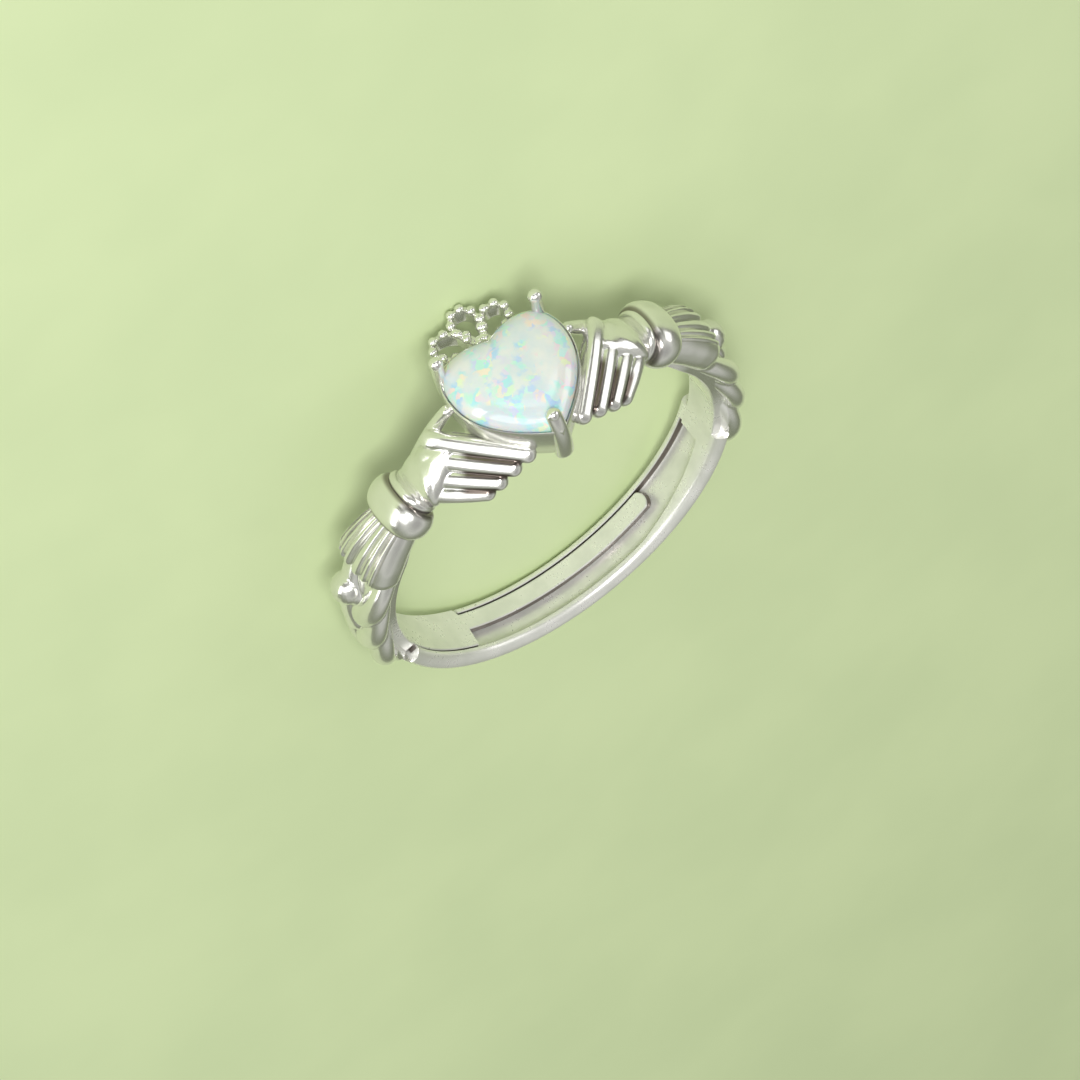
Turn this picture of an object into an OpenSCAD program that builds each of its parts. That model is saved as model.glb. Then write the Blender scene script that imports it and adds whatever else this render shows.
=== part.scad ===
// Adjustable claddagh ring: two hands hold a heart stone under a crown of three beaded loops.
// Built about the finger: X goes from the left hand to the right hand, Y towards the crown and Z out of
// the stone. The last step lays it on its side, resting on the crown's tip and the back of the band.

/* [Finger hollow] */
// Inside diameter of the band
bore_d = 17.8; // [16:0.1:21]
// Half width of the smooth liner under the setting, the palms and the cuffs
head_half = 0.5701; // [0.5:0.05:0.9]
// Half width of the smooth liner under the sleeves and plaits
shank_half = 0.9973; // [0.85:0.05:1.2]
// Thickness of the liner
liner_t = 0.5874; // [0.45:0.05:0.8]

/* [Heart stone] */
// Width across the two lobes
stone_w = 6; // [5.2:0.1:6.4]
// Length from the lobe tops to the tip
stone_l = 5.8; // [5.2:0.1:6.4]
// Height of the dome over the rim
stone_dome = 0.95; // [0.5:0.05:1.4]
// Depth of the stone below the rim
stone_seat = 0.55; // [0.35:0.05:0.8]
// Gap between the stone and the metal
stone_gap = 0.06; // [0.04:0.01:0.1]

/* [Setting] */
// Height of the rim over the finger hollow
rim_h = 3.2; // [2.9:0.05:3.6]
// Rim that shows round the stone
rim_t = 0.12; // [0.1:0.01:0.3]
// Thickness of the wall and of the deck under the stone
wall_t = 0.5; // [0.35:0.05:0.7]
// Height of the setting's open underside over the finger hollow
skirt_h = 0.8; // [0.5:0.05:1]

/* [Prongs] */
// Diameter of a prong's round tip
prong_tip_d = 0.66; // [0.5:0.02:0.8]
// Diameter of a prong's stem
prong_d = 0.56; // [0.45:0.02:0.7]
// Height of the two lobe prongs over the rim
prong_rise = 1.25; // [0.8:0.05:1.5]
// Height of the tip prong over the rim
tip_rise = 0.62; // [0.5:0.02:0.9]

/* [Crown] */
// Length of the middle loop
loop_l = 2.1; // [1.6:0.05:2.3]
// Half width of each loop
loop_half = 0.58; // [0.45:0.01:0.7]
// Angle between neighbouring loops
loop_fan = 53; // [48:1:58]
// Thickness of a loop's wall
loop_t = 0.3; // [0.22:0.02:0.4]
// Depth of a loop's wall
loop_depth = 1.45; // [0.8:0.05:1.6]
// Diameter of the beads along the loops
bead_d = 0.46; // [0.36:0.02:0.5]
// Number of beads on each loop
beads = 10; // [8:1:12]
// Drop of the crown below the rim
crown_drop = 0.55; // [0.3:0.05:0.8]

/* [Hands] */
// Diameter of a finger
finger_d = 0.74; // [0.6:0.02:0.86]
// Diameter of the thumb
thumb_d = 0.8; // [0.6:0.02:0.95]
// Width of the wrist
wrist_w = 2.3; // [1.9:0.1:2.8]
// Thickness of the palm
palm_t = 1.6; // [1.2:0.1:1.8]

/* [Cuffs] */
// Distance of the cuff's middle from the crown line, along the shank
cuff_at = 7.45; // [7.1:0.05:8]
// Width of the rolled cuff across the band
cuff_w = 3.4; // [3:0.1:4]
// Height of the rolled cuff out from the finger
cuff_h = 2.45; // [2.1:0.05:2.8]
// Length of the rolled cuff along the shank
cuff_l = 1.55; // [1.3:0.05:2]
// Length of the thin rim on the hand side
rim_ring_l = 0.42; // [0.3:0.02:0.6]

/* [Sleeves] */
// Length of a fluted sleeve
sleeve_l = 3.2; // [3:0.1:4.2]
// Width of a sleeve at its open end
sleeve_w = 3.4; // [2.8:0.1:3.8]
// Height of a sleeve's open end out from the finger
sleeve_h = 2.22; // [1.9:0.05:2.6]
// Number of flutes
flutes = 7; // [5:1:9]
// Depth of the flutes
flute_depth = 0.13; // [0.08:0.01:0.2]

/* [Plaits] */
// Length of the left plait, which ends at the tongue
left_plait_l = 7.9; // [7:0.1:8.6]
// Length of the right plait, which ends at the grooved band
right_plait_l = 9.2; // [8:0.1:10]
// Diameter of a strand
strand_d = 1.25; // [1:0.05:1.4]
// Length of the plait between one strand's end and the next on the same side
left_step = 2.2; // [1.9:0.05:2.5]
// The same on the right, where the plait is a little longer
right_step = 2.45; // [2.1:0.05:2.7]
// Length of a strand that shows, from the edge to the middle
strand_l = 4; // [3.4:0.1:4.6]
// Diameter of the knob where the plait starts
knob_d = 1.1; // [0.9:0.05:1.2]

/* [Band] */
// Width of the grooved band
band_w = 3; // [2.8:0.1:3.4]
// Thickness of the band at its crown line
band_t = 1.02; // [0.95:0.01:1.3]
// Depth of the groove inside the band
groove_depth = 0.53; // [0.45:0.01:0.6]
// Thickness of the band's near wall, on the heart tip's side
near_wall = 0.55; // [0.4:0.05:0.65]
// Thickness of the band's far wall, on the crown's side
far_wall = 0.36; // [0.3:0.02:0.5]
// Width of the tongue that lies in the groove
tongue_w = 0.95; // [0.8:0.05:1.2]
// Thickness of the tongue
tongue_t = 0.44; // [0.36:0.02:0.46]
// Gap between the tongue and the groove
slide_gap = 0.08; // [0.05:0.01:0.12]
// Overlap of the tongue and the band past the middle of the back
tongue_reach = 36; // [20:1:44]

/* [Hidden] */
metal = "silver";
opal = "whitesmoke";

bore_r = bore_d / 2;
half_w = stone_w / 2;
rim_z = bore_r + rim_h;
pocket_z = rim_z - stone_seat;

// Lengths along the shank are measured on a line this far out from the finger
shank_r = bore_r + 1.4;
function turn_of(len) = len / shank_r * 180 / PI;

cuff_deg = turn_of(cuff_at);
cuff_half_deg = turn_of(cuff_l / 2);
rim_ring_deg = turn_of(cuff_at - cuff_l / 2 - rim_ring_l / 3);
sleeve_deg = turn_of(cuff_at + cuff_l / 4.144);
sleeve_end_deg = turn_of(cuff_at + cuff_l / 2 + sleeve_l);
left_end_deg = sleeve_end_deg + turn_of(left_plait_l);
right_end_deg = sleeve_end_deg + turn_of(right_plait_l);

// The band runs from the right plait round the back; its end stays clear of the left plait
band_end_gap = turn_of(0.4);
band_start = right_end_deg - turn_of(1.4784);
band_end = 360 - left_end_deg - band_end_gap;
root_l = 6.2;
root_end = band_end - turn_of(root_l);
groove_r = bore_r + groove_depth;
tongue_end = 180 - tongue_reach;

// Small numerical helpers
function unit(v) = v / norm(v);
function swell(x, p) = sign(x) * pow(abs(x), p);
function mix(a, b, k) = a * (1 - k) + b * k;
function bezier3(p, k) =
    p[0] * pow(1 - k, 3) + 3 * p[1] * k * pow(1 - k, 2) + 3 * p[2] * pow(k, 2) * (1 - k) + p[3] * pow(k, 3);
function bezier2(p, k) = p[0] * pow(1 - k, 2) + 2 * p[1] * k * (1 - k) + p[2] * pow(k, 2);

// Directions at an angle round the finger, measured from the crown line towards the right hand
function out_dir(deg) = [sin(deg), 0, cos(deg)];
function along_dir(deg) = [cos(deg), 0, -sin(deg)];
function round_finger(deg, y, r) = out_dir(deg) * r + [0, y, 0];
across = [0, 1, 0];

// Ring of points in the plane of u and v; a power under 1 squares it, 1 is a plain oval
function oval(c, u, v, a, b, n, p = 1) =
    [for (i = [0:n - 1]) c + u * a * swell(cos(360 * i / n), p) + v * b * swell(sin(360 * i / n), p)];

function middle(points) = [for (p = points) 1] * points / len(points);
function end_tip(here, before, nib) = here + (here - before) * nib;

// Closed skin through rings that all go round the same way. Its ends are flat with nib 0, or else low cones
// whose tips stand out by that share of the last step.
module skin(rings, nib = 0.1) {
    n = len(rings[0]);
    m = len(rings);
    last = (m - 1) * n;
    sides = [for (j = [0:m - 2], i = [0:n - 1])
        let (p = j * n + i, q = j * n + (i + 1) % n)
        each [[p, p + n, q + n], [p, q + n, q]]];
    start = nib == 0
        ? [[for (i = [0:n - 1]) i]]
        : [for (i = [0:n - 1]) [i, (i + 1) % n, m * n]];
    finish = nib == 0
        ? [[for (i = [n - 1:-1:0]) last + i]]
        : [for (i = [0:n - 1]) [last + (i + 1) % n, last + i, m * n + 1]];
    tips = [
        end_tip(middle(rings[0]), middle(rings[1]), nib),
        end_tip(middle(rings[m - 1]), middle(rings[m - 2]), nib)
    ];
    polyhedron(concat([for (ring = rings) each ring], nib == 0 ? [] : tips),
        concat(sides, start, finish), convexity = 6);
}

// Round-ended finger form along three points; it starts flat inside what carries it.
// Stations: [share of the way, share of the end radius past the last point, share of the radius]
LIMB_STATIONS = [[0, 0, 1], [0.35, 0, 1], [0.7, 0, 1], [1, 0, 0.98], [1, 0.55, 0.78], [1, 0.88, 0.4]];
module limb(path, r0, r1, face, wide = 1, n = 8) {
    skin([for (s = LIMB_STATIONS)
        let (
            d = unit(mix(path[1] - path[0], path[2] - path[1], s[0])),
            u = unit(cross(face, d)),
            v = cross(d, u),
            r = mix(r0, r1, s[0]) * s[2]
        )
        oval(bezier2(path, s[0]) + d * r1 * s[1], u, v, r * wide, r, n)]);
}

// Heart outline from the notch round the right lobe to the tip, as shares of half width and length
LOBE = [[0, 0.336], [0.32, 0.422], [1, 0.466], [1, 0.078]];
FLANK = [[1, 0.078], [1, -0.207], [0.576, -0.431], [0, -0.612]];
lobe_steps = 8;
flank_steps = 6;
heart_half = concat(
    [for (i = [0:lobe_steps - 1]) bezier3(LOBE, i / lobe_steps)],
    [for (i = [0:flank_steps - 1]) bezier3(FLANK, i / flank_steps)]
);
heart_shares = concat(
    heart_half,
    [FLANK[3]],
    [for (i = [len(heart_half) - 1:-1:1]) [-heart_half[i][0], heart_half[i][1]]]
);
function at_heart(share) = [share[0] * half_w, share[1] * stone_l];
// The outline a given distance out from the stone, anticlockwise seen from outside
function heart_ring(grow, z, scale = 1) =
    let (k = scale * (half_w + grow) / half_w)
    [for (i = [len(heart_shares) - 1:-1:0])
        [at_heart(heart_shares[i])[0] * k, at_heart(heart_shares[i])[1] * k, z]];

// Rings of the stone: [share of the outline, share of the dome's height, share of the seat's depth]
STONE_RINGS = [
    [0.95, 0, 1], [1, 0, 0.8], [1, 0, 0], [0.985, 0.2, 0], [0.93, 0.45, 0],
    [0.82, 0.7, 0], [0.64, 0.88, 0], [0.4, 0.97, 0], [0.14, 1, 0]
];
module stone_form(grow) {
    skin([for (s = STONE_RINGS)
        heart_ring(grow, rim_z + s[1] * (stone_dome + grow) - s[2] * (stone_seat + grow), s[0])]);
}

// Heart setting: a wall that tapers towards the finger, with a deck under the stone and open below
taper = 0.9;
module setting() {
    difference() {
        skin([
            heart_ring(rim_t, bore_r + skirt_h, taper),
            heart_ring(rim_t, rim_z - rim_h / 2.7),
            heart_ring(rim_t, rim_z)
        ], 0);
        skin([
            heart_ring(rim_t - wall_t, bore_r, taper),
            heart_ring(rim_t - wall_t, pocket_z - wall_t - rim_h / 5, mix(taper, 1, 0.7)),
            heart_ring(rim_t - wall_t, pocket_z - wall_t, 0.8)
        ], 0);
    }
}

// Prongs stand on the setting's wall: one at the heart's tip and one at each lobe
module prongs() {
    tip = at_heart(FLANK[3]);
    tip_foot = [0, tip[1] * 0.95, bore_r + skirt_h + 0.25];
    tip_head = [0, tip[1] + 0.52, rim_z + tip_rise];
    limb([tip_foot, [0, tip[1] - rim_t * 0.5, rim_z - 0.3], tip_head],
        prong_d * 0.62, prong_d * 0.5, [0, -1, 0], 1.3);
    translate(tip_head) sphere(d = prong_tip_d, $fn = 10);
    for (side = [-1, 1]) {
        foot = at_heart([side * 0.8541, 0.31]);
        head = at_heart([side * 0.89, 0.33]);
        limb([[foot[0], foot[1], rim_z - 1.3], [head[0], head[1], rim_z], [head[0], head[1], rim_z + prong_rise]],
            prong_d * 0.55, prong_d * 0.5, [0, 1, 0]);
        translate([head[0], head[1], rim_z + prong_rise]) sphere(d = prong_tip_d, $fn = 10);
    }
}

// Crown: three teardrop loops that fan out from the heart's notch.
// Loops: [turn from the middle as a share of the fan, length, half width, base shift, lift]
LOOPS = [[1.04, 1.05, 1.03, -0.14, -0.0188], [0.08, 1, 1, 0, 0.0329], [-0.98, 0.92, 1, 0.12, 0.0031]];
crown_z = rim_z - crown_drop;
crown_y = at_heart(LOBE[0])[1] + rim_t + 0.3;
loop_steps = 18;
function loop_point(k, len, half) = [half * sin(k) * (1 - 0.35 * cos(k)), len * (1 - cos(k)) / 2];
function loop_out(k, len, half) =
    let (d = unit(loop_point(k + 1, len, half) - loop_point(k - 1, len, half)))
    [-d[1], d[0]];
// Turns the share of the way round a loop into its angle, for even spacing
function even_turn(share) = let (s = 360 * share) s + EVEN[0] * sin(s) + EVEN[1] * sin(2 * s) + EVEN[2] * sin(3 * s);
EVEN = [6.1, 8.4, 3.3];

// Bead on a wall: [height, radius] as shares of its radius
BEAD = [[-0.35, 0.94], [0.35, 0.94], [0.88, 0.48]];
module bead(d) {
    skin([for (b = BEAD) oval([0, 0, b[0] * d / 2], [1, 0, 0], across, b[1] * d / 2, b[1] * d / 2, 10)]);
}
module crown_loop(len, half) {
    turns = [for (i = [0:loop_steps - 1]) even_turn((i + 0.5) / loop_steps)];
    difference() {
        translate([0, 0, crown_z - loop_depth]) linear_extrude(loop_depth)
            polygon([for (k = turns) loop_point(k, len, half) - loop_out(k, len, half) * loop_t / 2]);
        translate([0, 0, crown_z - loop_depth - 1]) linear_extrude(loop_depth + 2)
            polygon([for (k = turns) loop_point(k, len, half) + loop_out(k, len, half) * loop_t / 2]);
    }
    for (i = [0:beads - 1])
        translate(concat(loop_point(even_turn((i + 0.5) / beads), len, half), [crown_z])) rotate([0, 0, 3.5]) bead(bead_d);
}
module crown() {
    for (row = LOOPS)
        translate([row[3], crown_y, row[4]]) rotate([0, 0, row[0] * loop_fan])
            crown_loop(loop_l * row[1], loop_half * row[2]);
    // Small base that joins the loops to the notch
    translate([0, crown_y, crown_z - loop_depth / 2])
        skin([
            oval([0, 0, -loop_depth * 0.45], [1, 0, 0], across, 0.4104, 0.34, 10),
            oval([0, 0, loop_depth * 0.35], [1, 0, 0], across, 0.42, 0.34, 10),
            oval([0, 0, loop_depth * 0.5], [1, 0, 0], across, 0.26, 0.2, 10)
        ]);
}

// Hands. Fingers: [base x share, base y share, base height share, tip x share, tip y share, tip height share]
// Shares are of the half width and the length of the stone, and of the rim's height over the hollow.
FINGERS = [
    [1.30, -0.06, 0.60, 0.46, -0.49, 0.47],
    [1.47, -0.12, 0.42, 0.73, -0.49, 0.37],
    [1.63, -0.18, 0.22, 0.99, -0.48, 0.23],
    [1.74, -0.25, 0.06, 1.20, -0.46, 0.10]
];
hand_face = unit([0.435, -0.46, 0.775]);
finger_way = unit([-0.727, -0.687, 0]);
wrist_deg = rim_ring_deg - turn_of(0.1);
function hand_point(row, at) =
    [row[at] * half_w, row[at + 1] * stone_l, bore_r + row[at + 2] * rim_h];
knuckles = [for (row = FINGERS) hand_point(row, 0)];
knuckle_mid = (knuckles[0] + knuckles[1] + knuckles[2] + knuckles[3]) / 4;
knuckle_row = unit(knuckles[3] - knuckles[0]);
knuckle_half = norm(knuckles[3] - knuckles[0]) / 2 + finger_d * 0.3;

module finger(row) {
    base = hand_point(row, 0);
    tip = hand_point(row, 3) - finger_way * 0.14;
    limb([base - finger_way * 0.4 - hand_face * 0.4, base + hand_face * 0.0723, tip],
        finger_d * 0.5372, finger_d * 0.45, hand_face);
}

// Palm sections: [share of the way from the wrist to the knuckles, width, thickness, sinking, shift to the thumb]
PALM = [
    [-0.1, 1, 1, 0, 0], [0.15, 1, 1, 0, 0], [0.4, 1.04, 1, -0.05, 0.12], [0.65, 1.06, 0.95, -0.02, 0.14],
    [0.88, 1.06, 0.95, -0.02, 0.2], [1.08, 1.04, 0.9, 0.1, 0.18], [1.4, 0.95, 0.6, 0.34, 0.1]
];
module palm() {
    wrist = round_finger(wrist_deg, 0, shank_r - 0.1);
    inner = knuckle_mid - hand_face * palm_t * 0.2;
    skin([for (s = PALM)
        let (
            k = max(0, min(1, s[0])),
            u = unit(mix(-across, knuckle_row, k)),
            n0 = unit(mix(out_dir(wrist_deg), hand_face, k)),
            d = unit(cross(u, n0)),
            v = cross(d, u),
            way = s[0] > 1 ? finger_way * (s[0] - 1) * 2 : [0, 0, 0]
        )
        oval(mix(wrist, inner, k) + way - v * s[3] - u * s[4], u, v,
            s[1] * mix(wrist_w / 2, knuckle_half, k), s[2] * palm_t / 2 * mix(1, 0.8, k), 14, 0.92)]);
}
module thumb() {
    root = round_finger(wrist_deg - 2, 0.5109, shank_r);
    bend = [half_w * 1.43, stone_l * 0.195, rim_z - 2.25];
    tip = [half_w * 1.09, stone_l * 0.1, rim_z - 0.55];
    limb([root, bend, tip], thumb_d * 0.56, thumb_d * 0.36, [0.3, 0.5, 0.8]);
}
module hand() {
    palm();
    thumb();
    for (row = FINGERS) finger(row);
}

// Rolled cuff and the thin rim beside it: [share of the half length, share of the swell]
CUFF = [[-1, 0], [-0.93, 0.42], [-0.75, 0.72], [-0.4, 0.95], [0, 1], [0.4, 0.95], [0.75, 0.72], [0.93, 0.42], [1, 0]];
RIM = [[-1, 0], [-0.8, 0.6], [0, 1], [0.8, 0.6], [1, 0]];
module rolled_ring(deg, half_deg, stations, half_across, half_out, low) {
    skin([for (s = stations)
        let (
            a = deg + half_deg * s[0],
            k = mix(low, 1, s[1])
        )
        oval(round_finger(a, 0, shank_r), across, out_dir(a), half_across * k, half_out * k, 20, 0.88)]);
}
module cuff() {
    rolled_ring(cuff_deg, cuff_half_deg, CUFF, cuff_w / 2, cuff_h / 2, 0.68);
    rolled_ring(rim_ring_deg, turn_of(rim_ring_l / 2), RIM, cuff_w * 0.37, cuff_h * 0.43, 0.8);
}

// Fluted sleeve: [share of the length, width, height]
SLEEVE = [[0, 0.66, 0.82], [0.15, 0.7, 0.86], [0.4, 0.82, 0.93], [0.7, 0.95, 0.99], [0.93, 1, 1], [1, 0.9, 0.93]];
sleeve_shift = 0.18;
flute_from = 18;
flute_span = 118;
flute_steps = 3 * flutes;
sleeve_turns = concat(
    [-90, -60, -25, 0],
    [for (i = [0:flute_steps]) flute_from + flute_span * i / flute_steps],
    [148, 160, 172, 185, 205, 240]
);
function flute_dip(t) =
    t < flute_from || t > flute_from + flute_span ? 0
    : flute_depth * (0.5 + 0.5 * cos(360 * flutes * (t - flute_from) / flute_span));
module sleeve() {
    low = bore_r + 0.15;
    skin([for (s = SLEEVE)
        let (
            a = mix(sleeve_deg, sleeve_end_deg, s[0]),
            half = s[1] * sleeve_w / 2,
            rise = (s[2] * sleeve_h - 0.15) / 2
        )
        [for (t = sleeve_turns)
            round_finger(a, sleeve_shift * s[0] + half * swell(cos(t), 0.78), low + rise + rise * swell(sin(t), 0.78) - flute_dip(t))]]);
}

// Plait: strands start at the edges, low down, and lie over the next pair as they turn in to the middle.
// The two sides take turns; a strand is named by the angle of its round end and its side.
module strand(end_deg, side) {
    start_deg = end_deg - turn_of(strand_l);
    limb([
            round_finger(start_deg, side * 0.627, bore_r + strand_d * 0.4496),
            round_finger(mix(start_deg, end_deg, 0.55), side * 1.3692, bore_r + strand_d * 1.1491),
            round_finger(end_deg - turn_of(0.55), side * 0.2603, bore_r + strand_d * 0.9523)
        ], strand_d * 0.34, strand_d * 0.52, out_dir(mix(start_deg, end_deg, 0.5)), 1.1, 9);
}
module plait(end_deg, step) {
    far_lead = step * 0.4327;
    for (i = [0:2], side = [-1, 1])
        strand(end_deg + turn_of(0.25 - step * i - (side > 0 ? far_lead : 0)), side);
    // Core under the strands
    skin([for (k = [0:4])
        let (a = mix(sleeve_end_deg - 2, end_deg, k / 4))
        oval(round_finger(a, 0, bore_r + 0.8), across, out_dir(a), 1.2, 0.6, 10)]);
    translate(round_finger(sleeve_end_deg + turn_of(2.1), 0.7495, bore_r + 1.55)) sphere(d = knob_d, $fn = 12);
}

// One side of the head and shoulder
module shoulder(end_deg, step) {
    hand();
    cuff();
    sleeve();
    plait(end_deg, step);
}

// Sculpted forms, still without the finger hollow and the stone's seat
module sculpted() {
    shoulder(right_end_deg, right_step);
    mirror([1, 0, 0]) shoulder(left_end_deg, left_step);
    setting();
    prongs();
    crown();
}

// Section turned about the finger from one angle to another; the section's X is the distance from the axis
module turned(from, to) {
    rotate([-90, 0, 0]) rotate([0, 0, from - 90]) rotate_extrude(angle = to - from, $fn = 60) children();
}
// The metal is made a little too deep here, and the finger hollow is cut out of it last
under = 0.15;
module strip_section(low_y, high_y, thick) {
    ease = 0.1398;
    polygon([
        [bore_r - under, low_y], [bore_r + thick - ease, low_y], [bore_r + thick, low_y + ease],
        [bore_r + thick, high_y - ease], [bore_r + thick - ease, high_y], [bore_r - under, high_y]
    ]);
}
// The liner is narrow under the head and widens under the sleeves, as seen from the stone's side
flare_from = bore_r * sin(cuff_deg + 5);
flare_to = bore_r * sin(sleeve_end_deg - 3);
module liner() {
    intersection() {
        turned(-left_end_deg, right_end_deg) strip_section(-shank_half - 0.2, shank_half + 0.2, liner_t);
        translate([0, 0, -20]) linear_extrude(40) polygon([
            [-20, -shank_half], [-flare_to, -shank_half], [-flare_from, -head_half],
            [flare_from, -head_half], [flare_to, -shank_half], [20, -shank_half],
            [20, shank_half], [flare_to, shank_half], [flare_from, head_half],
            [-flare_from, head_half], [-flare_to, shank_half], [-20, shank_half]
        ]);
    }
}

// Grooved band: rounded outside, with a groove for the tongue inside
side_r = bore_r + band_t * 0.5;
band_rise = bore_r + band_t - side_r;
module band_section() {
    polygon(concat(
        [[bore_r - under, 0.5 - band_w / 2], [bore_r + 0.06, 0.2716 - band_w / 2], [bore_r + 0.26, 0.06 - band_w / 2]],
        [for (t = [-90:22.5:90]) [side_r + band_rise * cos(t), band_w / 2 * swell(sin(t), 0.9)]],
        [[bore_r + 0.26, band_w / 2 - 0.04], [bore_r + 0.06, band_w / 2 - 0.13], [bore_r - under, band_w / 2 - 0.26]]
    ));
}
module groove_section(low_y, high_y) {
    polygon([[bore_r - 1, low_y], [groove_r, low_y], [groove_r, high_y], [bore_r - 1, high_y]]);
}
near_y = near_wall - band_w / 2;
far_y = band_w / 2 - far_wall;
// The near wall thickens towards the groove's closed end; this fills the slanting part
fill_deg = band_start + turn_of(1.2);
fill_span = 40;
fill_rise = 0.8;
module near_fill() {
    difference() {
        turned(fill_deg - 0.5, fill_deg + fill_span)
            polygon([
                [bore_r - under, near_y - 0.1], [groove_r + 0.1, near_y - 0.1],
                [groove_r + 0.1, near_y + fill_rise], [bore_r - under, near_y + fill_rise]
            ]);
        translate(round_finger(fill_deg, near_y + fill_rise, bore_r)) rotate([0, fill_deg + fill_span / 2, 0])
            rotate([0, 0, -atan(fill_rise / (2 * bore_r * sin(fill_span / 2)))])
                translate([-20, 0, -5]) cube([40, 5, 10]);
    }
}
module band() {
    difference() {
        turned(band_start, band_end) band_section();
        turned(fill_deg, band_end + 5.2593) groove_section(near_y, far_y);
        turned(root_end - turn_of(slide_gap), band_end + 5) groove_section(near_y, band_w);
    }
    near_fill();
}
tongue_high = band_w / 2 - far_wall - slide_gap;
module tongue() {
    turned(tongue_end, root_end) strip_section(tongue_high - tongue_w, tongue_high, tongue_t);
    turned(root_end - 0.5, 360.678 - left_end_deg)
        strip_section(near_y + slide_gap, band_w / 2 - 0.0543, tongue_t);
}

module ring_casting() {
    color(metal) difference() {
        resize([0, 0, 0]) difference() {
            union() {
                sculpted();
                liner();
                band();
                tongue();
            }
            stone_form(stone_gap);
        }
        rotate([90, 0, 0]) cylinder(r = bore_r, h = 14, center = true, $fn = 180);
    }
}
module heart_stone() {
    color(opal) stone_form(0);
}

// Tilt at which the crown's tip bead and the back edge of the band touch one flat surface
bead_y = crown_y + loop_l;
reach_y = bead_y - band_w / 2;
reach_z = crown_z + side_r;
rest_tilt = atan(reach_y / reach_z) + asin(bead_d / 2 / norm([reach_y, reach_z]));
module laid_down() {
    rotate([-rest_tilt, 0, 0]) rotate([-90, 0, 180]) children();
}

laid_down() ring_casting();
laid_down() heart_stone();
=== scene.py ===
"""Adjustable claddagh ring in polished silver with an opal heart, lying on its side on a pale green floor.

Lengths are in millimetres about the finger: X from the left hand to the right hand, Y towards the crown,
Z out of the stone. laid_down() turns them to the frame's metres, as the ring lies at rest.
"""
import math

import bpy
import numpy as np
from mathutils import Matrix, Vector


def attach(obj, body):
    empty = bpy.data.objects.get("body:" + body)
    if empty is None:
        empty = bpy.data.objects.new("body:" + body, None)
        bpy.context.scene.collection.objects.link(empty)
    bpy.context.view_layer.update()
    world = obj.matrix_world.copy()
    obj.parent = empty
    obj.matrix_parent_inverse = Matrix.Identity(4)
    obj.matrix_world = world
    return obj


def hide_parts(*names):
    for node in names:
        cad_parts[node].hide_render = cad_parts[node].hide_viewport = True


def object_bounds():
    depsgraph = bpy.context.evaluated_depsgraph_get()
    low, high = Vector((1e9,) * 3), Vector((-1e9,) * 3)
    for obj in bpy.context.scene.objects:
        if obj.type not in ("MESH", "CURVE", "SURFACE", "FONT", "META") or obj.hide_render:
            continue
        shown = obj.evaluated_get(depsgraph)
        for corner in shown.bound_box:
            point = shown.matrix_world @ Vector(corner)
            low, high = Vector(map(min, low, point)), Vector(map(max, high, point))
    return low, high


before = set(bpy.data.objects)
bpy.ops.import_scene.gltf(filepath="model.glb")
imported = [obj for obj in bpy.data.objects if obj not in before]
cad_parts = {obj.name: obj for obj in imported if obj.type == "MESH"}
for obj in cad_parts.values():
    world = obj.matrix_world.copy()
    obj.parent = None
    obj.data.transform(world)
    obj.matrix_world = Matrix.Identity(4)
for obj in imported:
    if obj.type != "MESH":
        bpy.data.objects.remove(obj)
cad_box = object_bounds()

# Sizes of the finger hollow, stone, setting, crown, hands, cuffs, sleeves, plaits, band and tongue, in mm. They are the
# part's own but for two: the crown's walls (LOOP_DEPTH) are shallower here, so that the ground shows through the
# loops, and the flutes (FLUTE_DEPTH) are deeper.
BORE_R = 8.9
STONE_W, STONE_L = 6.0, 5.8
DOME, SEAT, GAP = 0.95, 0.55, 0.06
RIM_H, RIM_T, WALL_T, SKIRT_H = 3.2, 0.12, 0.5, 0.8
RIM_Z = BORE_R + RIM_H
HALF_W = STONE_W / 2
CROWN_DROP, LOOP_L, LOOP_HALF, LOOP_FAN, LOOP_T, LOOP_DEPTH, BEAD_D, BEADS = 0.55, 2.1, 0.58, 53, 0.3, 1.0, 0.46, 10
CROWN_Z = RIM_Z - CROWN_DROP
CROWN_Y = 0.336 * STONE_L + RIM_T + 0.3
FINGER_D, THUMB_D, WRIST_W, PALM_T = 0.74, 0.8, 2.3, 1.6
CUFF_AT, CUFF_W, CUFF_H, CUFF_L, RIM_RING_L = 7.45, 3.4, 2.45, 1.55, 0.42
SLEEVE_L, SLEEVE_W, SLEEVE_H, SLEEVE_SHIFT, FLUTES, FLUTE_DEPTH = 3.2, 3.4, 2.22, 0.18, 7, 0.25
LEFT_PLAIT_L, RIGHT_PLAIT_L, LEFT_STEP, RIGHT_STEP = 7.9, 9.2, 2.2, 2.45
STRAND_D, STRAND_L, KNOB_D = 1.25, 4.0, 1.1
BAND_W, BAND_T, GROOVE_DEPTH, NEAR_WALL, FAR_WALL = 3.0, 1.02, 0.53, 0.55, 0.36
TONGUE_W, TONGUE_T, SLIDE_GAP, TONGUE_REACH, ROOT_L = 0.95, 0.44, 0.08, 36, 6.2
SHANK_R = BORE_R + 1.4


def turn_of(length):
    """Degrees round the finger that a length along the shank takes."""
    return length / SHANK_R * 180 / math.pi


CUFF_DEG = turn_of(CUFF_AT)
RIM_RING_DEG = turn_of(CUFF_AT - CUFF_L / 2 - RIM_RING_L / 3)
SLEEVE_DEG = turn_of(CUFF_AT + CUFF_L / 4)
SLEEVE_END = turn_of(CUFF_AT + CUFF_L / 2 + SLEEVE_L)
LEFT_END = SLEEVE_END + turn_of(LEFT_PLAIT_L)
RIGHT_END = SLEEVE_END + turn_of(RIGHT_PLAIT_L)
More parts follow.
